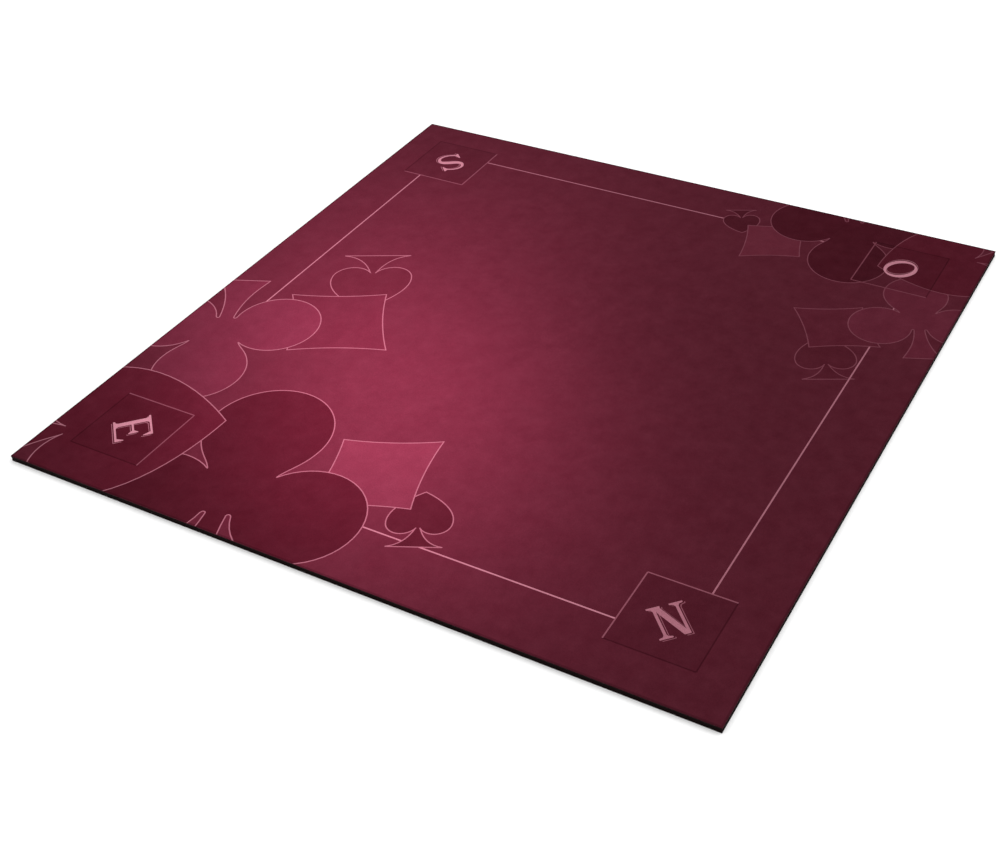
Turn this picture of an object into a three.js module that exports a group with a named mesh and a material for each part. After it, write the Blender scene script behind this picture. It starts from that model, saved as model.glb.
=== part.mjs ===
// One-piece card mat that turns any table into a bridge table: a sandwich of three sheets,
// laminated together and then cut flush to one square outline by a single straight-edged die.
// Millimetres, +Z up. The origin is the middle of the underside, so the mat stands on z = 0.
// -Y is the near side, and the sides run along X and Y.
import * as THREE from "three";

// Driving dimensions. The thicknesses are whole eighths of a millimetre, so that each sheet's
// faces meet its neighbours' faces exactly.
const MAT_SIDE = 770;
const FOAM_THICKNESS = 6;
const FILM_THICKNESS = 0.125;
const CLOTH_THICKNESS = 0.5;

// The sheets in the order they are laid up, from the table to the cards.
const layers = [
  {
    name: "foam_rubber_base",
    thickness: FOAM_THICKNESS,
    look: { color: 0x171113, roughness: 0.92, metalness: 0 },
  },
  {
    name: "bonding_film",
    thickness: FILM_THICKNESS,
    look: { color: 0x4a4446, roughness: 0.6, metalness: 0 },
  },
  {
    name: "printed_cloth_face",
    thickness: CLOTH_THICKNESS,
    look: { color: 0x6e1d35, roughness: 0.85, metalness: 0 },
  },
];

// The die's outline: a plain square with sharp corners, centred on the origin.
function dieOutline(side) {
  const half = side / 2;
  const outline = new THREE.Shape();
  outline.moveTo(-half, -half);
  outline.lineTo(half, -half);
  outline.lineTo(half, half);
  outline.lineTo(-half, half);
  outline.closePath();
  return outline;
}

// One sheet of the sandwich, lying with its underside at the given height.
function makeSheet(layer, underside) {
  const geometry = new THREE.ExtrudeGeometry(dieOutline(MAT_SIDE), {
    depth: layer.thickness,
    bevelEnabled: false,
  });
  const sheet = new THREE.Mesh(geometry, new THREE.MeshStandardMaterial(layer.look));
  sheet.name = layer.name;
  sheet.position.z = underside;
  return sheet;
}

const mat = new THREE.Group();
let height = 0;
for (const layer of layers) {
  mat.add(makeSheet(layer, height));
  height += layer.thickness;
}

export default mat;
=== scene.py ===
"""Looks of a card table mat: printed cloth on a bonding film on a foam rubber base.

Plan measures are in millimetres on a mat 770 mm square, with the origin at its centre, and are
held as complex numbers (x + y j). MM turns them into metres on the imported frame.
"""
import cmath
import math
import random

import bmesh
import bpy
from mathutils import Matrix, Vector
from mathutils.geometry import delaunay_2d_cdt


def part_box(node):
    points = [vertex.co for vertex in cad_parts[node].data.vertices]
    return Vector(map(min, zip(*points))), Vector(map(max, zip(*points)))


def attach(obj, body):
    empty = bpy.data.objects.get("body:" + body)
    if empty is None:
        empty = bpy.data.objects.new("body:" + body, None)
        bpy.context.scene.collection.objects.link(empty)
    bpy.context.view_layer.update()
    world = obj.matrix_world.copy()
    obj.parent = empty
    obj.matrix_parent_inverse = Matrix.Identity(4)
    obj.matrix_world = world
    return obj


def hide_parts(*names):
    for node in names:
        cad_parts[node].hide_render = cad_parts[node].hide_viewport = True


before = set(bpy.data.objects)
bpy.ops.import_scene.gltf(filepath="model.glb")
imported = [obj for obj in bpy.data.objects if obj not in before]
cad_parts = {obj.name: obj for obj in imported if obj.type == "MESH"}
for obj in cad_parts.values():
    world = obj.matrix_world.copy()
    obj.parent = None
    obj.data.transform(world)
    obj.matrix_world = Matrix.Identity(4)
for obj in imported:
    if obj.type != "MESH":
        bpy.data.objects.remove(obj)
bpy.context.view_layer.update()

# ---- Driving dimensions, from the frame ----
cloth_low, cloth_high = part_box("printed_cloth_face")
foam_low, foam_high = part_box("foam_rubber_base")
PLAN_SIDE = 770.0
MM = (cloth_high[0] - cloth_low[0]) / PLAN_SIDE
EDGE = PLAN_SIDE / 2
CORNER_RADIUS = 0.4
RIM_ROLL = 0.3
CLOTH_TOP = cloth_high[2]
CLOTH_BOTTOM = cloth_low[2]
FOAM_TOP = foam_high[2]

# ---- Print, in plan millimetres ----
FRAME_WIDTH = 1.6
SQUARE_WIDTH = 1.4
SUIT_WIDTH = 1.2
POINT_CUT = 2.5
# Width of the strip along the mat's edge that is painted darker, as painted shade where the cloth rolls
# over.
EDGE_SHADE_WIDTH = 2.0
PRINT_CENTRE = -2.1 + 2.8j
FRAME_HALF = 319.9
SQUARE_SIDE = 86.8
SQUARE_OFFSET = 301.0
LETTER_HEIGHT = 38.0

# The far cluster of suits is the near one made smaller, turned half way round and shifted.
FAR_SHIFT = 119.0 + 129.0j
FAR_SCALE = 0.688

# How far a line's slab of dye stands above the cloth and reaches into it, in metres.
INK_LIFT = 0.04 * MM
INK_DEPTH = 0.05 * MM


# ---- Camera, lights and floor ----

def add_camera():
    """A camera that looks down on the mat from its near right, rolled a little."""
    azimuth, elevation, roll = (math.radians(a) for a in (29.73, 39.31, -2.71))
    distance, aside, below = 1534.8 * MM, 54.8 * MM, 93.6 * MM
    back = Vector((math.sin(azimuth) * math.cos(elevation),
                   -math.cos(azimuth) * math.cos(elevation), math.sin(elevation)))
    level = Vector((math.cos(azimuth), math.sin(azimuth), 0))
    rise = back.cross(level)
    right = level * math.cos(roll) + rise * math.sin(roll)
    up = rise * math.cos(roll) - level * math.sin(roll)
    data = bpy.data.cameras.new("camera")
    data.lens = 51.65
    data.sensor_width = 36
    data.shift_x = -0.09
    camera = bpy.data.objects.new("camera", data)
    place = Vector((0, 0, CLOTH_TOP)) + back * distance + right * aside - up * below
    camera.matrix_world = Matrix.Translation(place) @ Matrix((right, up, back)).transposed().to_4x4()
    bpy.context.collection.objects.link(camera)
    bpy.context.scene.camera = camera


def add_softbox(name, place, size, power):
    """A square area light at place that faces the middle of the mat."""
    data = bpy.data.lights.new(name, "AREA")
    data.size = size
    data.energy = power
    light = bpy.data.objects.new(name, data)
    light.location = place
    light.rotation_euler = (-Vector(place)).to_track_quat("-Z", "Y").to_euler()
    bpy.context.collection.objects.link(light)


def add_studio():
    """Even white surroundings, two softboxes and a pale floor."""
    world = bpy.data.worlds.new("studio")
    world.use_nodes = True
    world.node_tree.nodes["Background"].inputs["Color"].default_value = (1, 1, 1, 1)
    world.node_tree.nodes["Background"].inputs["Strength"].default_value = 1.0
    bpy.context.scene.world = world
    bpy.context.scene.view_settings.view_transform = "Standard"
    add_softbox("key_softbox", (1.2, 1.0, 2.4), 2.4, 28)
    add_softbox("fill_softbox", (-0.8, -0.9, 2.8), 2.4, 3.3)
    bpy.ops.mesh.primitive_plane_add(size=8, location=(0, 0, 0))
    floor = bpy.context.object
    floor.name = "floor"
    material, shader = new_material("floor_paint", (0.97, 0.97, 0.97), 0.85, 0.1)
    floor.data.materials.append(material)


# ---- Materials ----

def new_material(name, colour, roughness, specular):
    """A material with one Principled shader, and that shader."""
    material = bpy.data.materials.new(name)
    material.use_nodes = True
    shader = material.node_tree.nodes["Principled BSDF"]
    shader.inputs["Base Color"].default_value = (*colour, 1)
    shader.inputs["Roughness"].default_value = roughness
    shader.inputs["Specular IOR Level"].default_value = specular
    return material, shader


def add_node(tree, kind, operation=None, **sockets):
    """A shader node; each socket gets a value, or a link if it is given another node's output.

    A socket goes by its name, or by its number as i0, i1 and so on."""
    node = tree.nodes.new("ShaderNode" + kind)
    if operation:
        node.operation = operation
    for key, value in sockets.items():
        index = int(key[1:]) if key[0] == "i" and key[1:].isdigit() else key
        socket = node.inputs[index]
        if isinstance(value, bpy.types.NodeSocket):
            tree.links.new(value, socket)
        else:
            socket.default_value = value
    return node


def plan_position(tree):
    """The place on the piece, in metres."""
    return add_node(tree, "TexCoord").outputs["Object"]


def noise(tree, place, size, detail=2.0, roughness=0.5):
    """Smooth noise whose features are about size metres across."""
    node = add_node(tree, "TexNoise", Vector=place, Scale=1 / size, Detail=detail, Roughness=roughness)
    return node.outputs["Fac"]


def spread(tree, value, low, high):
    """A value from 0 to 1 brought to the range from low to high."""
    node = add_node(tree, "MapRange", Value=value)
    node.inputs["To Min"].default_value = low
    node.inputs["To Max"].default_value = high
    return node.outputs[0]


# The dye's colour, and its two soft glows, partly printed glow and partly painted light falloff:
# centre, reach and cross reach, turn in degrees, added colour.
DARK_DYE = (0.0552, 0.0079, 0.0145)
GLOWS_PRINTED_AND_PAINTED_LIGHT = (
    (-90 - 161j, 132, 187, 42.5, (0.176, 0.0178, 0.0420)),
    (-288 + 116j, 190, 190, 0, (0.0647, 0.0065, 0.0155)),
)
FOAM_BLACK = (0.006, 0.003, 0.003)

# Full bleach and the uneven fading are added to colours that have been raised to 1 / EYE_GAMMA.
EYE_GAMMA = 2.2
BLEACH = (0.963, 0.838, 0.867)
FADING = 0.036


def glow(tree, place, centre, reach, cross_reach, turn):
    """Strength of a soft glow that falls off from its centre as a bell curve."""
    frame_of_glow = add_node(tree, "Mapping", Vector=place)
    frame_of_glow.vector_type = "TEXTURE"
    frame_of_glow.inputs["Location"].default_value = (centre.real * MM, centre.imag * MM, 0)
    frame_of_glow.inputs["Rotation"].default_value = (0, 0, math.radians(turn))
    frame_of_glow.inputs["Scale"].default_value = (reach * MM, cross_reach * MM, 1e6)
    away = frame_of_glow.outputs[0]
    square = add_node(tree, "VectorMath", "DOT_PRODUCT", i0=away, i1=away).outputs["Value"]
    half_square = add_node(tree, "Math", "MULTIPLY", i0=square, i1=-0.5).outputs[0]
    return add_node(tree, "Math", "EXPONENT", i0=half_square).outputs[0]


def dye_with_glows_and_painted_light(tree, place):
    """The dye's wine red, lit up by two soft glows that are partly printed glow and partly painted
    light.
    """
    colour = DARK_DYE
    for centre, reach, cross_reach, turn, light in GLOWS_PRINTED_AND_PAINTED_LIGHT:
        strength = glow(tree, place, centre, reach, cross_reach, turn)
        part = add_node(tree, "VectorMath", "SCALE", i0=light, Scale=strength).outputs[0]
        colour = add_node(tree, "VectorMath", "ADD", i0=colour, i1=part).outputs[0]
    return colour


def nap_height(tree, place):
    """Height of the knit's wales under a short, uneven nap.

    wave_length is that of the wave node at a scale of 1."""
    wave_length, wale_pitch, wale_share = 0.31, 0.9 * MM, 0.35
    wales = add_node(tree, "TexWave", Vector=place, Scale=wave_length / wale_pitch, Distortion=0.6)
    nap = noise(tree, place, 1.1 * MM, 4)
    return add_node(tree, "Math", "MULTIPLY_ADD", i0=wales.outputs["Fac"], i1=wale_share,
                    i2=nap).outputs[0]


def bleached(tree, place, colour):
    """The colour made paler by print_pale and by uneven fading, in even steps as the eye sees them."""
    printed = add_node(tree, "Attribute")
    printed.attribute_name = "print_pale"
    fading = spread(tree, noise(tree, place, 18 * MM, 6, 0.7), -FADING, FADING)
    pale = add_node(tree, "Math", "ADD", i0=printed.outputs["Fac"], i1=fading).outputs[0]
    seen = add_node(tree, "Gamma", Color=colour, Gamma=1 / EYE_GAMMA).outputs[0]
    paler = add_node(tree, "VectorMath", "MULTIPLY_ADD", i0=pale, i1=BLEACH, i2=seen).outputs[0]
    lit = add_node(tree, "VectorMath", "MAXIMUM", i0=paler, i1=(0, 0, 0)).outputs[0]
    return add_node(tree, "Gamma", Color=lit, Gamma=EYE_GAMMA).outputs[0]


def printed_cloth():
    """Short-napped knit with the print dyed in; a face attribute of tints says how the dye differs by
    face, and darkens the rolled edge with painted shade.
    """
    material, shader = new_material("printed_cloth", (1, 1, 1), 0.92, 0.02)
    tree = material.node_tree
    place = plan_position(tree)
    tint = add_node(tree, "Attribute")
    tint.attribute_name = "print_and_edge_shade_tint"
    dyed = add_node(tree, "VectorMath", "MULTIPLY", i0=dye_with_glows_and_painted_light(tree, place),
                    i1=tint.outputs["Color"]).outputs[0]
    mottle = spread(tree, noise(tree, place, 14 * MM, 5), 0.9, 1.1)
    fibres = spread(tree, noise(tree, place, 0.5 * MM, 3), 0.4, 1.6)
    wear = add_node(tree, "Math", "MULTIPLY", i0=mottle, i1=fibres).outputs[0]
    worn = add_node(tree, "VectorMath", "SCALE", i0=bleached(tree, place, dyed), Scale=wear)
    tree.links.new(worn.outputs[0], shader.inputs["Base Color"])
    bump = add_node(tree, "Bump", Height=nap_height(tree, place), Strength=0.6, Distance=0.15 * MM)
    tree.links.new(bump.outputs[0], shader.inputs["Normal"])
    shader.inputs["Sheen Weight"].default_value = 0.02
    shader.inputs["Sheen Roughness"].default_value = 0.6
    shader.inputs["Sheen Tint"].default_value = (0.9, 0.12, 0.25, 1)
    return material


def foam_rubber():
    """Black closed-cell foam rubber whose cells show in its cut edge."""
    material, shader = new_material("foam_rubber", FOAM_BLACK, 0.75, 0.02)
    tree = material.node_tree
    place = plan_position(tree)
    cells = add_node(tree, "TexVoronoi", Vector=place, Scale=1 / (0.7 * MM)).outputs["Distance"]
    clouds = noise(tree, place, 3 * MM, 3)
    # The colour darkens towards each cell's middle, painted shade in the pits, added to a cloudy tone
    # that differs at random.
    shade = add_node(tree, "Math", "MULTIPLY_ADD", i0=cells, i1=0.9, i2=clouds)
    colour = add_node(tree, "VectorMath", "SCALE", i0=FOAM_BLACK, Scale=shade.outputs[0])
    tree.links.new(colour.outputs[0], shader.inputs["Base Color"])
    bump = add_node(tree, "Bump", Height=cells, Strength=0.8, Distance=0.25 * MM)
    tree.links.new(bump.outputs[0], shader.inputs["Normal"])
    return material


def bonding_film():
    """Dull melted adhesive web, seen as a hairline at the cut edge."""
    material, shader = new_material("bonding_film", (0.05, 0.02, 0.022), 0.5, 0.3)
    tree = material.node_tree
    place = plan_position(tree)
    shade = spread(tree, noise(tree, place, 4 * MM), 0.03, 0.07)
    grey = add_node(tree, "CombineColor", Red=shade, Green=0.012, Blue=0.016)
    tree.links.new(grey.outputs[0], shader.inputs["Base Color"])
    return material


# ---- Outlines, as lists of complex points ----

def bezier(start, pull_a, pull_b, end, steps):
    """Points of a cubic curve after its start, up to its end."""
    points = []
    for i in range(1, steps + 1):
        t = i / steps
        u = 1 - t
        points.append(u ** 3 * start + 3 * u * u * t * pull_a + 3 * u * t * t * pull_b + t ** 3 * end)
    return points


def arc(centre, radius, start, end, steps):
    """Points of an arc after its start angle, up to its end angle."""
    return [centre + cmath.rect(radius, start + (end - start) * i / steps) for i in range(1, steps + 1)]


def mirrored(half):
    """A closed outline, counter-clockwise, from its right half, which runs down from the top."""
    other = [-p.conjugate() for p in half if abs(p.real) > 1e-9]
    return half[::-1] + other


def spade():
    """A spade with its throat at the origin and its tip at 1j."""
    tip = 1j
    lobe = 0.325 + 0.188j
    lobe_radius = 0.276
    shoulder_angle = -0.19
    throat = 0.036 + 0.047j
    foot = 0.518 - 0.432j
    shoulder = lobe + cmath.rect(lobe_radius, shoulder_angle)
    rise = cmath.rect(0.383, shoulder_angle + math.pi / 2)
    half = [tip] + bezier(tip, 0.263 + 0.842j, shoulder + rise, shoulder, 14)
    throat_angle = cmath.phase(throat - lobe)
    throat_reach = abs(throat - lobe)
    lobe_steps = 20
    for i in range(1, lobe_steps + 1):
        share = i / lobe_steps
        reach = lobe_radius + (throat_reach - lobe_radius) * share ** 2
        half.append(lobe + cmath.rect(reach, shoulder_angle + (throat_angle - shoulder_angle) * share))
    half += bezier(throat, 0.056 + 0.049j, 0.13 - 0.372j, foot, 12)
    return mirrored(half)


def club():
    """A club with side lobes of radius 1, upright, with the origin between its lobes."""
    top_centre, top_radius = 1.672j, 1.034
    side_centre = 1.222 - 0.081j
    waist_angle = -0.317
    notch = 0.557 + 0.646j
    throat, throat_radius = 0.2 - 0.29j, 0.035
    foot = 0.584 - 1.792j
    half = [top_centre + top_radius * 1j] + arc(top_centre, top_radius, math.pi / 2, waist_angle, 24)
    waist = half[-1]
    half += bezier(waist, waist + cmath.rect(0.399, waist_angle - math.pi / 2),
                   notch + cmath.rect(0.249, 1.137), notch, 10)
    start, end = cmath.phase(notch - side_centre), cmath.phase(throat + throat_radius - side_centre)
    lobe_steps = 40
    for i in range(1, lobe_steps + 1):
        share = i / lobe_steps
        reach = 1 + (abs(notch - side_centre) - 1) * max(0, 1 - 2 * share) ** 3
        half.append(side_centre + cmath.rect(reach, start + (end - start) * share))
    half += arc(throat, throat_radius, 0, math.pi, 6)
    half += bezier(throat - throat_radius, 0.19 - 1.108j, 0.438 - 1.472j, foot, 12)
    return mirrored(half)


def diamond():
    """A diamond with slightly hollow sides and its top corner at 1j."""
    corners = [1j, -0.855, -1j, 0.855]
    hollow, side_steps = 0.852, 10
    points = []
    for a, b in zip(corners, corners[1:] + corners[:1]):
        pull = (a + b) / 2 * hollow
        for i in range(side_steps):
            t = i / side_steps
            points.append((1 - t) ** 2 * a + 2 * (1 - t) * t * pull + t * t * b)
    return points


def placed(points, centre, turn, size):
    """The outline turned by turn degrees, scaled and moved."""
    spin = cmath.rect(size, math.radians(turn))
    return [centre + spin * p for p in points]


def square_ring(half, radius, steps=6):
    """A square with rounded corners, counter-clockwise."""
    points = []
    for k in range(4):
        centre = (half - radius) * (1 + 1j) * 1j ** k
        points.append(centre + radius * 1j ** k)
        points += arc(centre, radius, k * math.pi / 2, (k + 1) * math.pi / 2, steps)
    return points


def rounded(outline, cut):
    """The outline with each sharp point, such as a suit's foot, cut back and bent round."""
    sharp, most_of_side = math.radians(120), 0.4
    points = []
    for before, here, after in zip(outline[-1:] + outline, outline, outline[1:] + outline[:1]):
        if abs(cmath.phase((after - here) / (here - before))) < sharp:
            points.append(here)
            continue
        near = here + (before - here) * min(most_of_side, cut / abs(before - here))
        far = here + (after - here) * min(most_of_side, cut / abs(after - here))
        points += [near] + bezier(near, (near + 2 * here) / 3, (far + 2 * here) / 3, far, 4)
    return points


def line_end(point, side, other_side, forward):
    """The corners of a line's end: mitred where it bends gently, cut square at a sharp corner.

    side points out of the line on one side, as far as half the line's width."""
    half = abs(side)
    alike = (side * other_side.conjugate()).real / half ** 2
    if alike > 0:
        mitre = (side + other_side) / (1 + alike)
        return [point - mitre, point + mitre]
    past = point + 1j * side * forward
    return [past - side, past + side]


def stroke(outline, width):
    """Quads along a closed outline, counter-clockwise, that together draw its line."""
    ends = list(zip(outline, outline[1:] + outline[:1]))
    sides = [-1j * (b - a) / abs(b - a) * width / 2 for a, b in ends]
    quads = []
    for i, (start, end) in enumerate(ends):
        first = line_end(start, sides[i], sides[i - 1], -1)
        last = line_end(end, sides[i], sides[(i + 1) % len(sides)], 1)
        quads.append(first + last[::-1])
    return quads


def bar(start, end, width):
    """A straight line from start to end, as one quad."""
    side = -1j * (end - start) / abs(end - start) * width / 2
    return [start - side, start + side, end + side, end - side]


# ---- Seat letters, one unit tall, upright, with the origin at their middle ----

def box_at(x, y, width, height):
    """A box with its middle at x, y."""
    signs = ((-1, -1), (1, -1), (1, 1), (-1, 1))
    return [complex(x + i * width / 2, y + j * height / 2) for i, j in signs]


def serif(x, y, stem, width, up):
    """A bracketed foot at the end of a stem: a thin slab that narrows to the stem."""
    slab, bracket = 0.045, 0.13
    right = [complex(width / 2, 0), complex(width / 2, slab), complex(stem / 2 + 0.03, slab * 1.6),
             complex(stem / 2, bracket)]
    outline = right + [-p.conjugate() for p in reversed(right)]
    if up:
        return [complex(x, y) + p for p in outline]
    return [complex(x, y) + p.conjugate() for p in reversed(outline)]


def stem_with_serifs(x, stem, width, top=True, bottom=True):
    """An upright stem with a foot at either end."""
    shapes = [box_at(x, 0, stem, 1)]
    if bottom:
        shapes.append(serif(x, -0.5, stem, width, True))
    if top:
        shapes.append(serif(x, 0.5, stem, width, False))
    return shapes


def letter_n():
    """Two thin stems and a thick diagonal, with no foot where the diagonal meets the right stem."""
    thin, thick, reach = 0.072, 0.165, 0.275
    shapes = stem_with_serifs(-reach, thin, 0.33) + stem_with_serifs(reach, thin, 0.33, bottom=False)
    left, right = -reach - thin / 2, reach + thin / 2
    shapes.append([complex(right - thick, -0.5), complex(right, -0.5), complex(left + thick, 0.5),
                   complex(left, 0.5)])
    return shapes


def arm(x, y, length, thickness, lift):
    """A level arm that ends in an upright wedge, which lifts above and drops below it."""
    above, below = lift
    tip = x + length
    wedge = [complex(tip - 0.13, y), complex(tip - 0.03, y - below), complex(tip, y - below),
             complex(tip, y + above), complex(tip - 0.03, y + above)]
    return [box_at(x + length / 2, y, length, thickness), wedge]


def letter_e():
    """A thick stem with three thin arms."""
    stem, thin, left = 0.15, 0.055, -0.25
    shapes = stem_with_serifs(left, stem, stem + 0.2)
    shapes += arm(left, 0.5 - thin / 2, 0.66, thin, (thin / 2, 0.23))
    shapes += arm(left, 0.0, 0.47, thin, (0.13, 0.13))
    shapes += arm(left, thin / 2 - 0.5, 0.7, thin, (0.2, thin / 2))
    return shapes


def swelling(spine, widths):
    """Quads along an open spine whose width changes from point to point."""
    quads = []
    sides = []
    for i, point in enumerate(spine):
        ahead = spine[min(i + 1, len(spine) - 1)] - spine[max(i - 1, 0)]
        sides.append(-1j * ahead / abs(ahead) * widths[i] / 2)
    for i in range(len(spine) - 1):
        quads.append([spine[i] - sides[i], spine[i] + sides[i], spine[i + 1] + sides[i + 1],
                      spine[i + 1] - sides[i + 1]])
    return quads


def letter_o():
    """An oval ring, thick at its sides."""
    steps = 48
    turns = [2 * math.pi * i / steps for i in range(steps + 1)]
    spine = [complex(0.372 * math.cos(a), 0.475 * math.sin(a)) for a in turns]
    widths = [0.055 + 0.085 * abs(math.cos(a)) for a in turns]
    return swelling(spine, widths)


def letter_s():
    """A double curve that swells in the middle, with a wedge at either end."""
    start, left, right, end = 0.29 + 0.32j, -0.33 + 0.22j, 0.35 - 0.22j, -0.33 - 0.32j
    spine = [start] + bezier(start, 0.22 + 0.53j, -0.35 + 0.57j, left, 12)
    spine += bezier(left, -0.32 - 0.05j, 0.36 + 0.07j, right, 14)
    spine += bezier(right, 0.35 - 0.58j, -0.26 - 0.55j, end, 12)
    count = len(spine) - 1
    widths = [0.06 + 0.11 * math.exp(-((i / count - 0.5) / 0.2) ** 2) for i in range(count + 1)]
    shapes = swelling(spine, widths)
    wedge = [0.22 + 0.44j, 0.31 + 0.22j, 0.35 + 0.22j, 0.34 + 0.51j, 0.31 + 0.51j]
    shapes.append(wedge)
    shapes.append([-p - 0.02 for p in wedge])
    return shapes


# ---- The print's layout ----

class Ink:
    """One thing in the print, drawn over what lies below it.

    fill, line and gap hold plan polygons, counter-clockwise. tint multiplies the dye inside the
    fill, and pale is how far a line is bleached. Where a gap covers the line, no line shows.
    A see_through fill tints what lies below instead."""

    def __init__(self, kind, fill=(), line=(), gap=(), tint=(1, 1, 1), pale=0.0, see_through=False):
        self.kind = kind
        self.polygons = {"fill": fill, "line": line, "gap": gap}
        self.tint = tint
        self.pale = pale
        self.see_through = see_through


# Each suit's outline, place, turn in degrees, size and tint, from the lowest to the highest.
SUITS = {
    "small_inverted_spade": (spade, -246.9 + 47.0j, -154.7, 77.0, (0.91, 0.85, 0.86)),
    "side_diamond": (diamond, -224.5 - 54.4j, 74.4, 82.0, (1.06, 1.00, 1.03)),
    "small_upright_spade": (spade, 41.1 - 298.5j, 24.0, 52.2, (0.70, 0.57, 0.60)),
    "lower_diamond": (diamond, -38.9 - 248.8j, -26.1, 76.3, (1.39, 1.48, 1.45)),
    "dark_club": (club, -147.3 - 345.8j, 14.8, 64.2, (0.66, 0.47, 0.53)),
    "light_club": (club, -338.4 - 113.5j, -158.6, 49.2, (1.31, 1.32, 1.37)),
    "big_spade": (spade, -372.3 - 335.1j, -59.3, 171.7, (0.93, 0.64, 0.75)),
}

# How far lines are bleached: the suits of the near and the far cluster, the frame's near, right,
# far and left side, and the squares and letters of the O, S, E and N corners.
NEAR_PALE, FAR_PALE = 0.28, 0.115
FRAME_PALE = (0.37, 0.28, 0.275, 0.345)
SQUARE_PALE = (0.11, 0.165, 0.16, 0.19)
LETTER_PALE = (0.36, 0.40, 0.43, 0.305)

# A letter's shade: its paleness as a share of the letter's, its place, and the gap's as a share of it.
SHADE_SHARE = 0.65
SHADE_SHIFT = 0.05 - 0.05j
GAP_SHARE = 0.6

# What the dye is multiplied by in each part of the cloth.
SQUARE_TINT = (0.88, 0.85, 0.86)
DARK_SIDE_TINT = (0.62, 0.5, 0.55)
# The edge strip and the rolled rim get painted shade where the cloth rolls over.
EDGE_SHADE_TINT = (0.7, 0.7, 0.7)
CUT_TINT = (0.08, 0.15, 0.1)
BACK_TINT = (0.5, 0.5, 0.5)


def suit_ink(name, far):
    """A suit of the near cluster, or its smaller copy in the far cluster, turned half way round."""
    outline, centre, turn, size, tint = SUITS[name]
    pale = NEAR_PALE
    if far:
        centre = FAR_SHIFT - FAR_SCALE * centre
        turn += 180
        size *= FAR_SCALE
        pale = FAR_PALE
    points = rounded(placed(outline(), centre, turn, size), POINT_CUT)
    return Ink("suit_lines", [points], stroke(points, SUIT_WIDTH), tint=tint, pale=pale)


def painted_edge_shade_ink():
    """The strip along the mat's edge, painted darker: painted shade where the cloth rolls over at its
    cut.
    """
    inner = EDGE - EDGE_SHADE_WIDTH / 2
    strips = [bar(1j ** k * complex(-inner, -inner), 1j ** k * complex(EDGE, -inner), EDGE_SHADE_WIDTH)
              for k in range(4)]
    return Ink("rim", fill=strips, tint=EDGE_SHADE_TINT, see_through=True)


def frame_inks():
    """The four straight lines round the playing area, each between two corner squares."""
    reach = SQUARE_OFFSET - SQUARE_SIDE / 2
    inks = []
    for quarter, pale in enumerate(FRAME_PALE):
        start = PRINT_CENTRE + 1j ** quarter * complex(-reach, -FRAME_HALF)
        end = PRINT_CENTRE + 1j ** quarter * complex(reach, -FRAME_HALF)
        inks.append(Ink("frame_lines", line=[bar(start, end, FRAME_WIDTH)], pale=pale))
    return inks


def seat_inks(quarter, letter):
    """A corner's darker see-through square, and its seat letter.

    The square has dark lines on its outer sides and pale ones on its inner sides. The letter's head
    points to the mat's middle, and a thin shade line runs along its lower right."""
    turn = 1j ** quarter
    centre = PRINT_CENTRE + turn * SQUARE_OFFSET * (1 + 1j)
    half = SQUARE_SIDE / 2
    corners = [centre + turn * half * corner for corner in (-1 - 1j, 1 - 1j, 1 + 1j, -1 + 1j)]
    dark_sides = [bar(corners[1], corners[2], SQUARE_WIDTH), bar(corners[2], corners[3], SQUARE_WIDTH)]
    light_sides = [bar(corners[0], corners[1], SQUARE_WIDTH), bar(corners[3], corners[0], SQUARE_WIDTH)]
    letter_turn = 135 + 90 * quarter
    pale = LETTER_PALE[quarter]

    def written(shift):
        parts = [[p + shift for p in part] for part in letter()]
        return [placed(part, centre, letter_turn, LETTER_HEIGHT) for part in parts]

    return [
        Ink("square", fill=[corners], tint=SQUARE_TINT, see_through=True),
        Ink("square", fill=dark_sides, tint=DARK_SIDE_TINT, see_through=True),
        Ink("square_lines", line=light_sides, pale=SQUARE_PALE[quarter]),
        Ink("letter_shades", line=written(SHADE_SHIFT), gap=written(SHADE_SHIFT * GAP_SHARE),
            pale=pale * SHADE_SHARE),
        Ink("letters", line=written(0), pale=pale),
    ]


def print_layout():
    """All inks from the lowest to the highest."""
    names = list(SUITS)
    inks = [suit_ink(names[0], True)] + frame_inks()
    inks += [suit_ink(name, False) for name in names]
    inks += [suit_ink(name, True) for name in names[1:]]
    for quarter, letter in enumerate((letter_o, letter_s, letter_e, letter_n)):
        inks += seat_inks(quarter, letter)
    return inks + [painted_edge_shade_ink()]


def printed_faces(inks, rim):
    """Cut the cloth's top into triangles along every ink's edges.

    Gives the points, and for each triangle its corners, tint, paleness and kind of line."""
    spacing, closeness = 20.0, 1e-4
    faces, owners = [rim], [None]
    for ink in inks:
        for part, polygons in ink.polygons.items():
            for polygon in polygons:
                faces.append(polygon)
                owners.append((ink, part))
    corners, polygons = [], []
    for face in faces:
        polygons.append(list(range(len(corners), len(corners) + len(face))))
        corners += [(p.real, p.imag) for p in face]
    steps = int(EDGE // spacing)
    marks = [i * spacing for i in range(-steps, steps + 1)]
    corners += [(x, y) for x in marks for y in marks]
    plan, _, triangles, _, _, sources = delaunay_2d_cdt(corners, [], polygons, 0, closeness, True)
    kept = []
    for triangle, source in zip(triangles, sources):
        if 0 not in source:
            continue
        here = {}
        for index in source:
            if owners[index]:
                ink, part = owners[index]
                here.setdefault(ink, set()).add(part)
        kept.append((triangle, *face_ink(inks, here)))
    return plan, kept


def face_ink(inks, here):
    """Tint, paleness and kind of a face, from the inks that cover it, the highest first."""
    tint = (1.0, 1.0, 1.0)
    for ink in reversed(inks):
        parts = here.get(ink, ())
        if "line" in parts and "gap" not in parts:
            return tint, ink.pale, ink.kind
        if "fill" in parts:
            tint = tuple(a * b for a, b in zip(tint, ink.tint))
            if not ink.see_through:
                return tint, 0.0, None
    return tint, 0.0, None


# ---- Pieces ----

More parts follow.
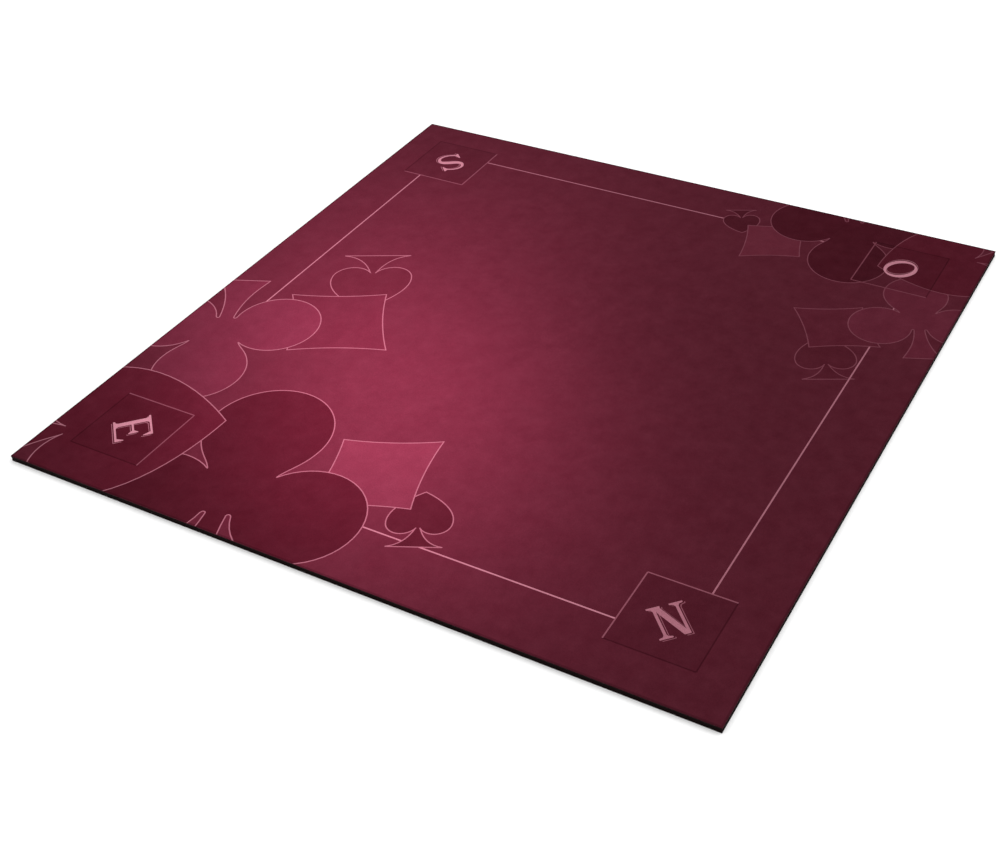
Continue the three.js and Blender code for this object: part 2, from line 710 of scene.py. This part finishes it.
def add_piece(name, bm, material):
    """A mesh object from bm that rides on the mat's one body."""
    mesh = bpy.data.meshes.new(name)
    bm.to_mesh(mesh)
    bm.free()
    piece = bpy.data.objects.new(name, mesh)
    bpy.context.collection.objects.link(piece)
    mesh.materials.append(material)
    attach(piece, "root")
    return piece


def outward(point):
    """Unit direction from the mat's core to a point on its outline."""
    core = EDGE - RIM_ROLL - CORNER_RADIUS
    near = complex(max(-core, min(core, point.real)), max(-core, min(core, point.imag)))
    away = point - near
    return away / abs(away)


def rim_loop(bm):
    """The boundary of an open flat mesh as one loop of vertices, in order."""
    edges = {edge for edge in bm.edges if edge.is_boundary}
    start = min(edges, key=lambda edge: edge.index)
    loop = [start.verts[0]]
    edge = start
    while True:
        vert = edge.other_vert(loop[-1])
        if vert == loop[0]:
            return loop
        loop.append(vert)
        edge = next(e for e in vert.link_edges if e in edges and e is not edge)


def signed_area(ring):
    """Twice the plan area inside a loop of vertices, positive if it runs counter-clockwise."""
    pairs = zip(ring, ring[1:] + ring[:1])
    return sum(a.co.x * b.co.y - b.co.x * a.co.y for a, b in pairs)


def add_cloth(plan, kept, material):
    """The printed cloth: its flat top, a rim rolled down by the die, its cut side and its back."""
    bm = bmesh.new()
    tint_layer = bm.faces.layers.float_vector.new("print_and_edge_shade_tint")
    pale_layer = bm.faces.layers.float.new("print_pale")
    verts = [bm.verts.new((p[0] * MM, p[1] * MM, CLOTH_TOP)) for p in plan]
    for triangle, tint, pale, _ in kept:
        face = bm.faces.new([verts[i] for i in triangle])
        face[tint_layer] = tint
        face[pale_layer] = pale
    bmesh.ops.delete(bm, geom=[v for v in bm.verts if not v.link_faces], context="VERTS")
    bm.edges.index_update()
    ring = rim_loop(bm)
    if signed_area(ring) < 0:
        ring.reverse()
    # The rolled rim takes this many steps, and one more goes straight down the cut side.
    steps = 4
    for i in range(1, steps + 2):
        angle = min(i, steps) / steps * math.pi / 2
        angle_before = min(i - 1, steps) / steps * math.pi / 2
        drop = RIM_ROLL * (1 - math.cos(angle)) * MM
        z = CLOTH_TOP - drop if i <= steps else CLOTH_BOTTOM
        lower = []
        for vert in ring:
            away = outward(complex(vert.co.x, vert.co.y) / MM)
            step = RIM_ROLL * (math.sin(angle) - math.sin(angle_before)) * MM
            lower.append(bm.verts.new((vert.co.x + away.real * step, vert.co.y + away.imag * step, z)))
        for k in range(len(ring)):
            after = (k + 1) % len(ring)
            face = bm.faces.new((ring[k], lower[k], lower[after], ring[after]))
            # The rolled rim is darkened with painted shade; the cut side has its own dark colour.
            face[tint_layer] = EDGE_SHADE_TINT if i < steps else CUT_TINT
        ring = lower
    back = bm.faces.new(list(reversed(ring)))
    back[tint_layer] = BACK_TINT
    cloth = add_piece("printed_cloth", bm, material)
    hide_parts("printed_cloth_face")
    return cloth


def add_ink_piece(name, plan, kept, kind, material):
    """The faces of one kind of line as thin slabs of dye that stand a hair above the cloth."""
    bm = bmesh.new()
    tint_layer = bm.faces.layers.float_vector.new("print_and_edge_shade_tint")
    pale_layer = bm.faces.layers.float.new("print_pale")
    tops, feet = {}, {}
    for triangle, tint, pale, face_kind in kept:
        if face_kind != kind:
            continue
        for i in triangle:
            if i not in tops:
                x, y = plan[i][0] * MM, plan[i][1] * MM
                tops[i] = bm.verts.new((x, y, CLOTH_TOP + INK_LIFT))
                feet[tops[i]] = bm.verts.new((x, y, CLOTH_TOP - INK_DEPTH))
        for corners in ([tops[i] for i in triangle], [feet[tops[i]] for i in reversed(triangle)]):
            face = bm.faces.new(corners)
            face[tint_layer] = tint
            face[pale_layer] = pale
    for edge in [e for e in bm.edges if e.is_boundary and e.verts[0] in feet]:
        loop = edge.link_loops[0]
        a, b = loop.vert, loop.link_loop_next.vert
        wall = bm.faces.new((b, a, feet[a], feet[b]))
        wall[tint_layer] = loop.face[tint_layer]
        wall[pale_layer] = loop.face[pale_layer]
    return add_piece(name, bm, material)


def add_foam(material):
    """The foam base: a flat top, a cut edge that the die left slightly hollow, and a moulded relief."""
    cells = 280
    relief = 0.35 * MM
    hollow, waviness = 0.35, 0.1
    # Rows up the cut edge: share of the height, and distance in from the die's line.
    rows = ((0.0, 0.25), (0.12, 0.0), (0.3, hollow * 0.7), (0.55, hollow), (0.8, hollow * 0.6),
            (0.94, 0.0), (1.0, 0.2))
    chance = random.Random(7)
    bm = bmesh.new()
    half = EDGE - rows[0][1]
    grid = {}
    for i in range(cells + 1):
        for j in range(cells + 1):
            x, y = (i / cells * 2 - 1) * half, (j / cells * 2 - 1) * half
            on_edge = i in (0, cells) or j in (0, cells)
            z = 0 if on_edge or (i % 2 and j % 2) else relief
            grid[i, j] = bm.verts.new((x * MM, y * MM, foam_low[2] + z))
    for i in range(cells):
        for j in range(cells):
            bm.faces.new((grid[i, j], grid[i, j + 1], grid[i + 1, j + 1], grid[i + 1, j]))
    walk = [(i, 0) for i in range(cells)] + [(cells, j) for j in range(cells)]
    walk += [(i, cells) for i in range(cells, 0, -1)] + [(0, j) for j in range(cells, 0, -1)]
    foot = [grid[key] for key in walk]
    ring = foot
    for share, inset in rows[1:]:
        z = foam_low[2] + (FOAM_TOP - foam_low[2]) * share
        size = (EDGE - inset) / half
        upper = []
        for base in foot:
            wobble = 1 - chance.uniform(0, waviness) / EDGE
            upper.append(bm.verts.new((base.co.x * size * wobble, base.co.y * size * wobble, z)))
        for k in range(len(ring)):
            after = (k + 1) % len(ring)
            bm.faces.new((ring[k], ring[after], upper[after], upper[k]))
        ring = upper
    bm.faces.new(ring)
    foam = add_piece("foam_base", bm, material)
    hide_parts("foam_rubber_base")
    return foam


def finish_film(material):
    """The film keeps its CAD solid, with a better material."""
    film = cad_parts["bonding_film"]
    film.data.materials.clear()
    film.data.materials.append(material)


# ---- Build ----

add_camera()
add_studio()
rim = square_ring(EDGE - RIM_ROLL, CORNER_RADIUS)
plan, kept = printed_faces(print_layout(), rim)
cloth_material = printed_cloth()
cloth = add_cloth(plan, kept, cloth_material)
lines = [add_ink_piece(kind, plan, kept, kind, cloth_material)
         for kind in ("frame_lines", "suit_lines", "square_lines", "letter_shades", "letters")]
foam = add_foam(foam_rubber())
finish_film(bonding_film())
